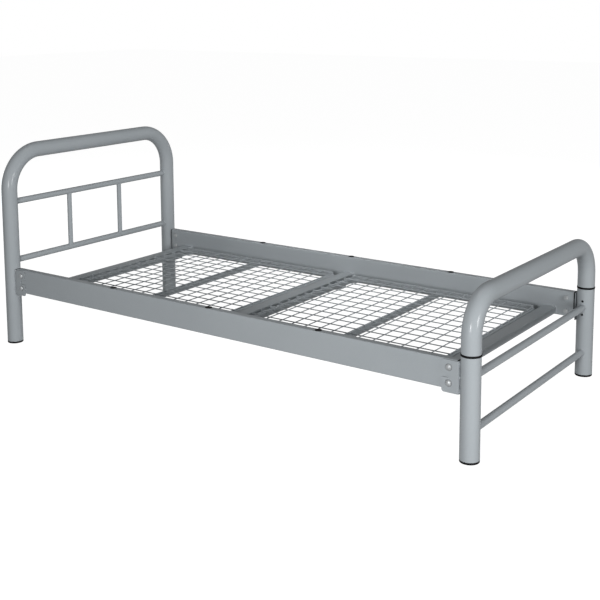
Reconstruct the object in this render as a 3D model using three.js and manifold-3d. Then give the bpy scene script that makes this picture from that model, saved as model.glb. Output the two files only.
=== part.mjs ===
// Single metal bed frame: a bent-tube headboard, a footboard whose hoop plugs into two short posts,
// two box-section side rails bolted on through welded angle brackets, three cross-members,
// and two lift-out base panels of bent tube with a welded wire mesh.
// Millimetres. +X runs from head to foot, +Y to the far side, +Z up. The floor is z = 0.
import * as THREE from 'three';
import * as BufferGeometryUtils from 'three/addons/utils/BufferGeometryUtils.js';
import Module from 'manifold-3d';

const wasm = await Module();
wasm.setup();

// ---------------------------------------------------------------- driving dimensions
const GAP = 0.3; // between touching pieces
const FIT = 0.3; // radial clearance of a pin, plug or bolt in its hole

const POST_RADIUS = 31.5;
const POST_WALL = 1.5;

const HEAD_HEIGHT = 815.5; // top of the headboard hoop
const HEAD_BEND = 155; // centre-line radius of its two bends
const FOOT_HEIGHT = 535; // top of the footboard hoop
const FOOT_LEG = 48.7; // straight part of the hoop's legs, above which the bends take up the rest

const GLIDE_RIM = 7.5; // visible black rim under each post
const GLIDE_SHANK = 22;
const GLIDE_CHAMFER = 1;

const RAIL_TOP = 313;
const COLLAR_RISE = 19.5; // from the rail's top to the underside of the black collar on a foot post
const COLLAR_RIM = 7;
const COLLAR_PROUD = 1.2;
const COLLAR_SLEEVE = 70; // sleeve length inside the post
const COLLAR_SLEEVE_WALL = 2.4;
const SPIGOT_DROP = 62; // how far the hoop's spigot reaches below the collar's top
const SPIGOT_RISE = 44; // how far it reaches up into the hoop's leg
const SPIGOT_WALL = 2;

const BAR_RADIUS = 12.5; // horizontal bars of both ends
const BAR_WALL = 1.5;
const HEAD_BAR_RISE = 28; // from the rail's top to the lower head bar
const HEAD_BAR_SPACING = 242;
const FOOT_BAR_DROP = 50; // from the rail's top down to the upper foot bar
const FOOT_BAR_SPACING = 169.5;
const SPINDLE_RADIUS = 10;
const SPINDLE_WALL = 1.2;
const SPINDLE_SPACING = 298; // between the two upright spindles of the headboard
const POST_HOLE_RADIUS = 4.5; // two holes on the inner side of each foot post
const POST_HOLE_OFFSET = 25; // above and below the upper foot bar

const RAIL_HEIGHT = 95;
const RAIL_THICKNESS = 30;
const RAIL_WALL = 1.5;
const RAIL_CORNER = 4;
const RAIL_OUTSET = 12.6; // outer face of the rail outside the line of the posts
const CAP_RIM = 4.5;
const CAP_SHANK = 14;
const BUFFER_SPACING = 470; // between the three black plugs on a rail's top
const BUFFER_SHIFT = 8; // the middle plug stands this far towards the foot
const BUFFER_RADIUS = 12.5;
const BUFFER_DOME = 2.5;
const BUFFER_HOLE_RADIUS = 9;
const BUFFER_SHANK = 8;

const BRACKET_THICKNESS = 3;
const BRACKET_REACH = 59; // length of the leg that lies on the rail
const BRACKET_DROP = 2; // from the rail's top to the bracket's
const BRACKET_HEIGHT = 103;
const BRACKET_CORNER = 9;
const BRACKET_SLOT_DEPTH = 27; // notch between the two ears
const BRACKET_SLOT_HEIGHT = 16;
const BOLT_RADIUS = 4;
const BOLT_SPACING = 50;
const BOLT_DROP = 50; // from the rail's top to the middle of a pair of bolts
const BOLT_INSET = 24; // from the free edge of the bracket's ears
const BOLT_HEAD_RADIUS = 10;
const BOLT_HEAD_HEIGHT = 5;
const BOLT_TAIL = 2; // thread standing out of the nut
const NUT_ACROSS_FLATS = 17;
const NUT_HEIGHT = 6.5;

const CROSS_WIDTH = 50;
const CROSS_HEIGHT = 25;
const CROSS_WALL = 2;
const CROSS_DROP = 65; // from the rail's top to the cross-members'
const CROSS_SHIFT = 8; // the middle one stands this far towards the foot
const END_BAY = 140; // from an end cross-member to the posts, before that shift
const LUG_THICKNESS = 3; // plates under the cross-members that carry the panels
const LUG_REACH = 32; // past the cross-member, under the middle of the end tube wherever it lies
const LUG_WIDTH = 60;
const LUG_INSET = 108.5; // from the panel's side to the middle of the plate

const PANEL_LENGTH = 828;
const PANEL_WIDTH = 837;
const PANEL_TUBE_RADIUS = 12.5;
const PANEL_TUBE_WALL = 1.2;
const PANEL_BEND = 34;
const PANEL_PLAY = 16; // between a panel and its two cross-members together
const PANEL_HEAD_GAPS = [12.5, 14.5]; // from each panel, lying loose, to the cross-member on its head side
const PANEL_SIDE_GAP = 33.1; // from the panel to each rail
const PANEL_SEAM = 1; // butt joint of the bent perimeter tube
const WIRE_RADIUS = 2;
const WIRE_BITE = 0.5; // how deep crossed wires are welded into each other
const LONG_WIRE_PITCH = 56.2; // between wires that run along the bed
const CROSS_WIRE_PITCH = 56.1; // between wires that run across it
const MESH_SHIFT = 7; // the mesh is welded on this far towards the foot
const WIRE_EDGE = 1; // least distance from a wire inwards to the centre line of the tube beside it
const WIRE_OVERHANG = 6; // past the centre line of the perimeter tube

// ---------------------------------------------------------------- worked out from them
const RAIL_INNER_Y = PANEL_WIDTH / 2 + PANEL_SIDE_GAP;
const RAIL_OUTER_Y = RAIL_INNER_Y + RAIL_THICKNESS;
const CROSS_SPACING = PANEL_LENGTH + PANEL_PLAY + CROSS_WIDTH;
const POST_X = CROSS_SPACING + END_BAY;
const POST_Y = RAIL_OUTER_Y - RAIL_OUTSET;
const POST_SIDES = 24;
// What slips into a post: a round clear of the flats of its bore.
const POST_FIT_RADIUS = (POST_RADIUS - POST_WALL) * Math.cos(Math.PI / POST_SIDES) - FIT;
const POST_BASE = GLIDE_RIM + GAP;
const COLLAR_Z = RAIL_TOP + COLLAR_RISE;
const HOOP_BASE = COLLAR_Z + COLLAR_RIM + GAP;
const FOOT_BEND = FOOT_HEIGHT - POST_RADIUS - HOOP_BASE - FOOT_LEG;
const LOWER_HEAD_BAR_Z = RAIL_TOP + HEAD_BAR_RISE;
const HEAD_BARS_Z = [LOWER_HEAD_BAR_Z, LOWER_HEAD_BAR_Z + HEAD_BAR_SPACING];
const UPPER_FOOT_BAR_Z = RAIL_TOP - FOOT_BAR_DROP;
const FOOT_BARS_Z = [UPPER_FOOT_BAR_Z - FOOT_BAR_SPACING, UPPER_FOOT_BAR_Z];
const RAIL_MIDDLE_Y = RAIL_OUTER_Y - RAIL_THICKNESS / 2;
const RAIL_MIDDLE_Z = RAIL_TOP - RAIL_HEIGHT / 2;
const BRACKET_OUTER_X = POST_X - POST_RADIUS - GAP;
const CAP_OUTER_X = BRACKET_OUTER_X - BRACKET_THICKNESS - GAP;
const RAIL_END_X = CAP_OUTER_X - CAP_RIM - GAP;
const BOLT_X = BRACKET_OUTER_X - BRACKET_REACH + BOLT_INSET;
const BRACKET_FACE_Y = RAIL_OUTER_Y + GAP + BRACKET_THICKNESS;
const BRACKET_BOTTOM = RAIL_TOP - BRACKET_DROP - BRACKET_HEIGHT;
const BOLT_MIDDLE_Z = RAIL_TOP - BOLT_DROP;
const CROSS_BOTTOM = RAIL_TOP - CROSS_DROP - CROSS_HEIGHT;
const PANEL_TUBE_Z = CROSS_BOTTOM + GAP + PANEL_TUBE_RADIUS;
const CROSS_WIRE_Z = PANEL_TUBE_Z + PANEL_TUBE_RADIUS + GAP + WIRE_RADIUS;
const LONG_WIRE_Z = CROSS_WIRE_Z + 2 * WIRE_RADIUS - WIRE_BITE;
const HOLE_SIDES = 12;

// ---------------------------------------------------------------- materials
const silverPaint = new THREE.MeshStandardMaterial({ color: 0x9a9fa1, roughness: 0.42, metalness: 0.35 });
const blackPlastic = new THREE.MeshStandardMaterial({ color: 0x121212, roughness: 0.55, metalness: 0 });
const zincSteel = new THREE.MeshStandardMaterial({ color: 0xc4c8ca, roughness: 0.3, metalness: 0.9 });

// ---------------------------------------------------------------- joining and cutting
function toSolid(geometry) {
  const bare = geometry.clone();
  bare.deleteAttribute('normal');
  bare.deleteAttribute('uv');
  const merged = BufferGeometryUtils.mergeVertices(bare, 1e-3);
  const vertProperties = new Float32Array(merged.attributes.position.array);
  const triVerts = new Uint32Array(merged.index.array);
  return new wasm.Manifold(new wasm.Mesh({ numProp: 3, vertProperties, triVerts }));
}

function toGeometry(solid) {
  const { vertProperties, triVerts } = solid.getMesh();
  const geometry = new THREE.BufferGeometry();
  geometry.setAttribute('position', new THREE.BufferAttribute(vertProperties, 3));
  geometry.setIndex(new THREE.BufferAttribute(triVerts, 1));
  return geometry;
}

function cut(geometry, cutters) {
  const solid = cutters.reduce((rest, cutter) => rest.subtract(toSolid(cutter)), toSolid(geometry));
  return toGeometry(solid);
}

function join(geometries) {
  const [first, ...others] = geometries.map(toSolid);
  return toGeometry(others.reduce((whole, next) => whole.add(next), first));
}

// A copy reflected in the plane x = 0 and/or y = 0, with its faces still pointing out.
function reflected(geometry, signX, signY) {
  const copy = geometry.index ? geometry.clone() : BufferGeometryUtils.mergeVertices(geometry, 1e-4);
  copy.scale(signX, signY, 1);
  if (signX * signY < 0) {
    const corners = copy.index.array;
    for (let i = 0; i < corners.length; i += 3) {
      [corners[i], corners[i + 1]] = [corners[i + 1], corners[i]];
    }
  }
  return copy;
}

// ---------------------------------------------------------------- basic shapes
function polygonPoints(radius, sides) {
  return Array.from({ length: sides }, (_, i) => {
    const angle = (2 * Math.PI * i) / sides;
    return new THREE.Vector2(radius * Math.cos(angle), radius * Math.sin(angle));
  });
}

function ringSection(radius, wall, sides, boreSides) {
  const section = new THREE.Shape(polygonPoints(radius, sides));
  section.holes.push(new THREE.Path(polygonPoints(radius - wall, boreSides)));
  return section;
}

// A rectangle centred on the origin with rounded corners.
function roundedRectangle(path, width, height, corner) {
  const x = width / 2;
  const y = height / 2;
  path.absarc(x - corner, y - corner, corner, 0, Math.PI / 2);
  path.absarc(corner - x, y - corner, corner, Math.PI / 2, Math.PI);
  path.absarc(corner - x, corner - y, corner, Math.PI, 1.5 * Math.PI);
  path.absarc(x - corner, corner - y, corner, 1.5 * Math.PI, 2 * Math.PI);
  path.closePath();
  return path;
}

function extruded(shape, depth, curveSegments = 3) {
  return new THREE.ExtrudeGeometry(shape, { depth, bevelEnabled: false, curveSegments });
}

// A cylinder along X, Y or Z about the origin.
function rod(radius, length, sides, axis) {
  const geometry = new THREE.CylinderGeometry(radius, radius, length, sides);
  if (axis === 'x') geometry.rotateZ(-Math.PI / 2);
  if (axis === 'z') geometry.rotateX(Math.PI / 2);
  return geometry;
}

// A straight open pipe along Z that starts at z = 0.
function pipe(radius, wall, length, sides, boreSides) {
  return extruded(ringSection(radius, wall, sides, boreSides), length);
}

function lathed(profile, sides) {
  const geometry = new THREE.LatheGeometry(profile.map(([r, z]) => new THREE.Vector2(r, z)), sides);
  geometry.rotateX(Math.PI / 2);
  return geometry;
}

// A path through bend stations, one straight step between neighbours, for a tube bent on a former.
class BentPath extends THREE.Curve {
  constructor(stations) {
    super();
    this.stations = stations;
  }

  blend(u, key) {
    const place = u * (this.stations.length - 1);
    const index = Math.min(Math.floor(place + 1e-9), this.stations.length - 2);
    const [a, b] = [this.stations[index][key], this.stations[index + 1][key]];
    return a.clone().lerp(b, place - index);
  }

  getPoint(u) {
    return this.blend(u, 'point');
  }

  getPointAt(u) {
    return this.getPoint(u);
  }

  getTangent(u) {
    return this.blend(u, 'tangent').normalize();
  }

  getTangentAt(u) {
    return this.getTangent(u);
  }
}

// Stations along a quarter bend about centre, from the unit direction `from` to `to`.
function quarterBend(centre, radius, from, to, steps) {
  return Array.from({ length: steps + 1 }, (_, i) => {
    const angle = (Math.PI / 2) * (i / steps);
    const outward = from.clone().multiplyScalar(Math.cos(angle)).addScaledVector(to, Math.sin(angle));
    const tangent = to.clone().multiplyScalar(Math.cos(angle)).addScaledVector(from, -Math.sin(angle));
    return { point: centre.clone().addScaledVector(outward, radius), tangent };
  });
}

function bentTube(stations, section) {
  return new THREE.ExtrudeGeometry(section, {
    steps: stations.length - 1,
    extrudePath: new BentPath(stations),
    bevelEnabled: false,
  });
}

// ---------------------------------------------------------------- assembly helpers
const bed = new THREE.Group();
bed.position.x = -COLLAR_PROUD / 2; // only the foot end has collars: this keeps the origin under the middle

function add(name, geometry, material, x = 0, y = 0, z = 0, parent = bed) {
  const mesh = new THREE.Mesh(geometry, material);
  mesh.name = name;
  mesh.position.set(x, y, z);
  parent.add(mesh);
  return mesh;
}

const SIDES = [
  { side: 'near', signY: -1 },
  { side: 'far', signY: 1 },
];
const ENDS = [
  { end: 'head', signX: -1 },
  { end: 'foot', signX: 1 },
];
const CORNERS = ENDS.flatMap((end) => SIDES.map((side) => ({ ...end, ...side })));

// ---------------------------------------------------------------- bent hoops
// An upside-down U in the plane x = 0: up the near leg, over the top and down the far leg.
function hoop(base, height, bend) {
  const up = new THREE.Vector3(0, 0, 1);
  const down = new THREE.Vector3(0, 0, -1);
  const near = new THREE.Vector3(0, -1, 0);
  const far = new THREE.Vector3(0, 1, 0);
  const bendZ = height - POST_RADIUS - bend;
  const bendY = POST_Y - bend;
  const stations = [
    { point: new THREE.Vector3(0, -POST_Y, base), tangent: up },
    ...quarterBend(new THREE.Vector3(0, -bendY, bendZ), bend, near, up, 7),
    ...quarterBend(new THREE.Vector3(0, bendY, bendZ), bend, up, far, 7),
    { point: new THREE.Vector3(0, POST_Y, base), tangent: down },
  ];
  return bentTube(stations, ringSection(POST_RADIUS, POST_WALL, POST_SIDES, POST_SIDES));
}

add('head_hoop', hoop(POST_BASE, HEAD_HEIGHT, HEAD_BEND), silverPaint, -POST_X);
add('foot_hoop', hoop(HOOP_BASE, FOOT_HEIGHT, FOOT_BEND), silverPaint, POST_X);

// ---------------------------------------------------------------- foot posts, collars and spigots
const collarRadius = POST_RADIUS + COLLAR_PROUD;
const sleeveRadius = POST_FIT_RADIUS;
const sleeveBore = sleeveRadius - COLLAR_SLEEVE_WALL;
const spigotRadius = sleeveBore - FIT;

for (const { side, signY } of SIDES) {
  const holes = [-1, 1].map((step) => {
    const drill = rod(POST_HOLE_RADIUS, 2 * POST_RADIUS, HOLE_SIDES, 'y');
    const z = FOOT_BARS_Z[1] - POST_BASE + step * POST_HOLE_OFFSET;
    drill.translate(0, -signY * POST_RADIUS, z);
    return drill;
  });
  const post = cut(pipe(POST_RADIUS, POST_WALL, COLLAR_Z - GAP - POST_BASE, POST_SIDES, POST_SIDES), holes);
  add(`foot_post_${side}`, post, silverPaint, POST_X, signY * POST_Y, POST_BASE);

  const collar = lathed(
    [
      [sleeveBore, -COLLAR_SLEEVE],
      [sleeveRadius, -COLLAR_SLEEVE],
      [sleeveRadius, 0],
      [collarRadius, 0],
      [collarRadius, COLLAR_RIM],
      [sleeveBore, COLLAR_RIM],
      [sleeveBore, -COLLAR_SLEEVE],
    ],
    24,
  );
  add(`foot_collar_${side}`, collar, blackPlastic, POST_X, signY * POST_Y, COLLAR_Z);

  const spigot = lathed(
    [
      [spigotRadius - SPIGOT_WALL, -SPIGOT_DROP],
      [spigotRadius, -SPIGOT_DROP],
      [spigotRadius, GAP],
      [POST_FIT_RADIUS, GAP],
      [POST_FIT_RADIUS, SPIGOT_RISE],
      [spigotRadius - SPIGOT_WALL, SPIGOT_RISE],
      [spigotRadius - SPIGOT_WALL, -SPIGOT_DROP],
    ],
    20,
  );
  add(`foot_spigot_${side}`, spigot, zincSteel, POST_X, signY * POST_Y, COLLAR_Z + COLLAR_RIM);
}

// ---------------------------------------------------------------- floor glides
const glide = lathed(
  [
    [0, 0],
    [POST_RADIUS - GLIDE_CHAMFER, 0],
    [POST_RADIUS, GLIDE_CHAMFER],
    [POST_RADIUS, GLIDE_RIM],
    [POST_FIT_RADIUS, GLIDE_RIM],
    [POST_FIT_RADIUS, GLIDE_RIM + GLIDE_SHANK],
    [0, GLIDE_RIM + GLIDE_SHANK],
  ],
  20,
);
for (const { end, side, signX, signY } of CORNERS) {
  add(`${end}_glide_${side}`, glide, blackPlastic, signX * POST_X, signY * POST_Y);
}

// ---------------------------------------------------------------- bars of both ends
// A pipe along Y between the two posts, coped to fit round them.
function bar() {
  const blank = pipe(BAR_RADIUS, BAR_WALL, 2 * POST_Y, 16, 10);
  blank.rotateX(-Math.PI / 2);
  blank.translate(0, -POST_Y, 0);
  const posts = [-1, 1].map((sign) => {
    const post = rod(POST_RADIUS + GAP, 4 * BAR_RADIUS, 24, 'z');
    post.rotateZ(Math.PI / 24);
    return post.translate(0, sign * POST_Y, 0);
  });
  return cut(blank, posts);
}

HEAD_BARS_Z.forEach((z, i) => add(`head_bar_${['lower', 'upper'][i]}`, bar(), silverPaint, -POST_X, 0, z));
FOOT_BARS_Z.forEach((z, i) => add(`foot_bar_${['lower', 'upper'][i]}`, bar(), silverPaint, POST_X, 0, z));

// Upright spindles, coped to the upper and lower head bars.
for (const { side, signY } of SIDES) {
  const blank = pipe(SPINDLE_RADIUS, SPINDLE_WALL, HEAD_BAR_SPACING, 12, 8);
  const bars = [0, HEAD_BAR_SPACING].map((z) =>
    rod(BAR_RADIUS + GAP, 4 * SPINDLE_RADIUS, 16, 'y').translate(0, 0, z),
  );
  const y = signY * (SPINDLE_SPACING / 2);
  add(`head_spindle_${side}`, cut(blank, bars), silverPaint, -POST_X, y, LOWER_HEAD_BAR_Z);
}

// ---------------------------------------------------------------- side rails
const BOLTS_Z = [-1, 1].map((step) => BOLT_MIDDLE_Z + (step * BOLT_SPACING) / 2);
const BUFFERS_X = [-1, 0, 1].map((step) => BUFFER_SHIFT + step * BUFFER_SPACING);

// The rail's section lies in the plane x = 0 with its middle at the origin.
function railSection(shrink, path) {
  const width = RAIL_THICKNESS - 2 * shrink;
  const height = RAIL_HEIGHT - 2 * shrink;
  return roundedRectangle(path, width, height, RAIL_CORNER - shrink);
}

function alongX(geometry) {
  geometry.rotateX(Math.PI / 2);
  geometry.rotateZ(Math.PI / 2);
  return geometry;
}

function rail() {
  const section = railSection(0, new THREE.Shape());
  section.holes.push(railSection(RAIL_WALL, new THREE.Path()));
  const blank = alongX(extruded(section, 2 * RAIL_END_X, 2));
  blank.translate(-RAIL_END_X, 0, 0);
  const boltHoles = [-BOLT_X, BOLT_X].flatMap((x) =>
    BOLTS_Z.map((z) => {
      const drill = rod(BOLT_RADIUS + FIT, 2 * RAIL_THICKNESS, HOLE_SIDES, 'y');
      return drill.translate(x, 0, z - RAIL_MIDDLE_Z);
    }),
  );
  const bufferHoles = BUFFERS_X.map((x) =>
    rod(BUFFER_HOLE_RADIUS + FIT, RAIL_THICKNESS, HOLE_SIDES, 'z').translate(x, 0, RAIL_HEIGHT / 2),
  );
  return cut(blank, [...boltHoles, ...bufferHoles]);
}

// A plastic plug for a rail's end: a rim over the end and a shank inside it.
function railCap() {
  const shrink = RAIL_WALL + FIT;
  const rim = alongX(extruded(railSection(0, new THREE.Shape()), CAP_RIM, 2));
  const shank = alongX(extruded(railSection(shrink, new THREE.Shape()), CAP_SHANK + CAP_RIM / 2, 2));
  rim.translate(-CAP_RIM, 0, 0);
  shank.translate(-CAP_RIM - CAP_SHANK, 0, 0);
  return join([rim, shank]);
}

// A domed black plug pressed into the rail's top face.
const buffer = lathed(
  [
    [0, -BUFFER_SHANK],
    [BUFFER_HOLE_RADIUS, -BUFFER_SHANK],
    [BUFFER_HOLE_RADIUS, GAP],
    [BUFFER_RADIUS, GAP],
    [BUFFER_RADIUS * 0.9, BUFFER_DOME * 0.6],
    [BUFFER_RADIUS * 0.5, BUFFER_DOME],
    [0, BUFFER_DOME],
  ],
  HOLE_SIDES,
);

for (const { side, signY } of SIDES) {
  add(`rail_${side}`, rail(), silverPaint, 0, signY * RAIL_MIDDLE_Y, RAIL_MIDDLE_Z);
  BUFFERS_X.forEach((x, i) => {
    add(`rail_plug_${side}_${i + 1}`, buffer, blackPlastic, x, signY * RAIL_MIDDLE_Y, RAIL_TOP);
  });
}
for (const { end, side, signX, signY } of CORNERS) {
  const cap = reflected(railCap(), signX, 1);
  const [x, y] = [signX * CAP_OUTER_X, signY * RAIL_MIDDLE_Y];
  add(`rail_cap_${end}_${side}`, cap, blackPlastic, x, y, RAIL_MIDDLE_Z);
}

// ---------------------------------------------------------------- angle brackets
// Drawn for the foot end on the far side: one leg lies on the rail, the other stands against the post.
// The leg on the rail is seen from outside, from x = 0 at the post to x = -BRACKET_REACH.
function bracket() {
  const [left, top, corner] = [-BRACKET_REACH, BRACKET_HEIGHT, BRACKET_CORNER];
  const slotZ = BOLT_MIDDLE_Z - BRACKET_BOTTOM;
  const slotHalf = BRACKET_SLOT_HEIGHT / 2;
  const slotEnd = left + BRACKET_SLOT_DEPTH - slotHalf;
  const outline = new THREE.Shape();
  outline.moveTo(0, 0);
  outline.lineTo(0, top);
  outline.lineTo(left + corner, top);
  outline.absarc(left + corner, top - corner, corner, Math.PI / 2, Math.PI);
  outline.lineTo(left, slotZ + slotHalf);
  outline.lineTo(slotEnd, slotZ + slotHalf);
  outline.absarc(slotEnd, slotZ, slotHalf, Math.PI / 2, -Math.PI / 2, true);
  outline.lineTo(left, slotZ - slotHalf);
  outline.lineTo(left, corner);
  outline.absarc(left + corner, corner, corner, Math.PI, 1.5 * Math.PI);
  outline.closePath();
  for (const z of BOLTS_Z) {
    const hole = polygonPoints(BOLT_RADIUS + FIT, HOLE_SIDES);
    hole.forEach((point) => point.add(new THREE.Vector2(left + BOLT_INSET, z - BRACKET_BOTTOM)));
    outline.holes.push(new THREE.Path(hole));
  }
  const railLeg = extruded(outline, BRACKET_THICKNESS, 4);
  railLeg.rotateX(Math.PI / 2);
  railLeg.translate(0, BRACKET_THICKNESS, 0);
  const depth = RAIL_THICKNESS + GAP + BRACKET_THICKNESS / 2;
  const postLeg = new THREE.BoxGeometry(BRACKET_THICKNESS, depth, BRACKET_HEIGHT);
  postLeg.translate(-BRACKET_THICKNESS / 2, BRACKET_THICKNESS / 2 - depth / 2, BRACKET_HEIGHT / 2);
  return join([railLeg, postLeg]);
}

// Cup-head bolt along Y with its head outside, drawn for the far side; the head's seat is at y = 0.
const boltLength = GAP + BRACKET_THICKNESS + GAP + RAIL_THICKNESS + GAP + NUT_HEIGHT + BOLT_TAIL;
const bolt = lathed(
  [
    [0, -boltLength],
    [BOLT_RADIUS, -boltLength],
    [BOLT_RADIUS, 0],
    [BOLT_HEAD_RADIUS, 0],
    [BOLT_HEAD_RADIUS * 0.87, BOLT_HEAD_HEIGHT * 0.5],
    [BOLT_HEAD_RADIUS * 0.5, BOLT_HEAD_HEIGHT * 0.9],
    [0, BOLT_HEAD_HEIGHT],
  ],
  HOLE_SIDES,
);

// Hexagon nut along Z, seated at z = 0.
const nutSection = new THREE.Shape(polygonPoints(NUT_ACROSS_FLATS / Math.sqrt(3), 6));
nutSection.holes.push(new THREE.Path(polygonPoints(BOLT_RADIUS + FIT, HOLE_SIDES)));
const nut = extruded(nutSection, NUT_HEIGHT);

for (const { end, side, signX, signY } of CORNERS) {
  const plate = reflected(bracket(), signX, signY);
  const seatY = signY * (RAIL_OUTER_Y + GAP);
  add(`bracket_${end}_${side}`, plate, silverPaint, signX * BRACKET_OUTER_X, seatY, BRACKET_BOTTOM);
  BOLTS_Z.forEach((z, i) => {
    const place = `${end}_${side}_${['lower', 'upper'][i]}`;
    const headY = signY * (BRACKET_FACE_Y + GAP);
    const nutY = signY * (RAIL_INNER_Y - GAP);
    add(`bolt_${place}`, bolt, zincSteel, signX * BOLT_X, headY, z).rotation.x = (-signY * Math.PI) / 2;
    add(`nut_${place}`, nut, zincSteel, signX * BOLT_X, nutY, z).rotation.x = (signY * Math.PI) / 2;
  });
}

// ---------------------------------------------------------------- cross-members
const CROSS_X = [-1, 0, 1].map((step) => CROSS_SHIFT + step * CROSS_SPACING);
const crossSpan = 2 * (RAIL_INNER_Y - GAP);
const lugY = PANEL_WIDTH / 2 - LUG_INSET;

function rectanglePoints(x, z) {
  return [[-x, -z], [x, -z], [x, z], [-x, z]].map(([a, b]) => new THREE.Vector2(a, b));
}

// A box section along Y with small plates welded under it, which carry the panels' end tubes.
function crossMember(lugSides) {
  const [x, z] = [CROSS_WIDTH / 2, CROSS_HEIGHT / 2];
  const section = new THREE.Shape(rectanglePoints(x, z));
  section.holes.push(new THREE.Path(rectanglePoints(x - CROSS_WALL, z - CROSS_WALL)));
  const tube = extruded(section, crossSpan);
  tube.rotateX(Math.PI / 2);
  tube.translate(0, crossSpan / 2, CROSS_BOTTOM + z);
  const lugs = lugSides.flatMap((sign) =>
    [-1, 1].map((end) => {
      const length = LUG_REACH + CROSS_WIDTH / 2;
      const lug = new THREE.BoxGeometry(length, LUG_WIDTH, LUG_THICKNESS);
      const middle = sign * (CROSS_WIDTH / 2 + LUG_REACH - length / 2);
      return lug.translate(middle, end * lugY, CROSS_BOTTOM - LUG_THICKNESS / 2);
    }),
  );
  return join([tube, ...lugs]);
}

add('cross_member_head', crossMember([1]), silverPaint, CROSS_X[0]);
add('cross_member_middle', crossMember([-1, 1]), silverPaint, CROSS_X[1]);
add('cross_member_foot', crossMember([-1]), silverPaint, CROSS_X[2]);

// ---------------------------------------------------------------- base panels
const panelHalfX = PANEL_LENGTH / 2 - PANEL_TUBE_RADIUS;
const panelHalfY = PANEL_WIDTH / 2 - PANEL_TUBE_RADIUS;

// The bent perimeter: one tube whose ends meet in the middle of the near side.
function panelPerimeter() {
  const [x, y] = [panelHalfX - PANEL_BEND, panelHalfY - PANEL_BEND];
  const east = new THREE.Vector3(1, 0, 0);
  const north = new THREE.Vector3(0, 1, 0);
  const west = new THREE.Vector3(-1, 0, 0);
  const south = new THREE.Vector3(0, -1, 0);
  const stations = [
    { point: new THREE.Vector3(PANEL_SEAM / 2, -panelHalfY, 0), tangent: east },
    ...quarterBend(new THREE.Vector3(x, -y, 0), PANEL_BEND, south, east, 4),
    ...quarterBend(new THREE.Vector3(x, y, 0), PANEL_BEND, east, north, 4),
    ...quarterBend(new THREE.Vector3(-x, y, 0), PANEL_BEND, north, west, 4),
    ...quarterBend(new THREE.Vector3(-x, -y, 0), PANEL_BEND, west, south, 4),
    { point: new THREE.Vector3(-PANEL_SEAM / 2, -panelHalfY, 0), tangent: east },
  ];
  return bentTube(stations, ringSection(PANEL_TUBE_RADIUS, PANEL_TUBE_WALL, 12, 8));
}

function panelMiddleTube() {
  const blank = pipe(PANEL_TUBE_RADIUS, PANEL_TUBE_WALL, 2 * panelHalfY, 12, 8);
  blank.rotateX(-Math.PI / 2);
  blank.translate(0, -panelHalfY, 0);
  const sides = [-1, 1].map((sign) =>
    rod(PANEL_TUBE_RADIUS + GAP, 4 * PANEL_TUBE_RADIUS, 12, 'x').translate(0, sign * panelHalfY, 0),
  );
  return cut(blank, sides);
}

// How far the perimeter's centre line lies from the panel's middle, along a wire at the given offset.
function wireReach(offset, halfAlong, halfAcross) {
  const intoBend = Math.max(0, Math.abs(offset) - (halfAcross - PANEL_BEND));
  return halfAlong - PANEL_BEND + Math.sqrt(PANEL_BEND ** 2 - intoBend ** 2);
}

// As many wires as fit within the given distance of the middle one.
function wirePlaces(within, pitch) {
  const steps = Math.floor(within / pitch);
  return Array.from({ length: 2 * steps + 1 }, (_, i) => (i - steps) * pitch);
}

// Wires drawn with four sides, standing on an edge and welded where they cross: the ones across the
// bed lie on the tubes, the ones along it on top of them.
function wireMesh() {
  const rise = LONG_WIRE_Z - CROSS_WIRE_Z;
  const along = wirePlaces(panelHalfY - WIRE_EDGE, LONG_WIRE_PITCH).map((y) => {
    const reach = wireReach(y, panelHalfX, panelHalfY) + WIRE_OVERHANG;
    return rod(WIRE_RADIUS, 2 * reach, 4, 'x').translate(0, y, rise);
  });
  const across = wirePlaces(panelHalfX - MESH_SHIFT - WIRE_EDGE, CROSS_WIRE_PITCH).map((place) => {
    const x = place + MESH_SHIFT;
    const reach = wireReach(x, panelHalfY, panelHalfX) + WIRE_OVERHANG;
    return rod(WIRE_RADIUS, 2 * reach, 4, 'y').translate(x, 0, 0);
  });
  return join([...along, ...across]);
}

['head', 'foot'].forEach((end, i) => {
  const panel = new THREE.Group();
  panel.position.x = CROSS_X[i] + CROSS_WIDTH / 2 + PANEL_HEAD_GAPS[i] + PANEL_LENGTH / 2;
  bed.add(panel);
  add(`${end}_panel_frame`, panelPerimeter(), silverPaint, 0, 0, PANEL_TUBE_Z, panel);
  add(`${end}_panel_middle_tube`, panelMiddleTube(), silverPaint, 0, 0, PANEL_TUBE_Z, panel);
  add(`${end}_panel_wire_mesh`, wireMesh(), silverPaint, 0, 0, CROSS_WIRE_Z, panel);
});

export default bed;
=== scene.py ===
"""Single metal bed frame: bent-tube ends, bolted side rails, cross-members and two mesh panels, in metres."""
import math

import bmesh
import bpy
import numpy as np
from mathutils import Matrix, Vector


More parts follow.
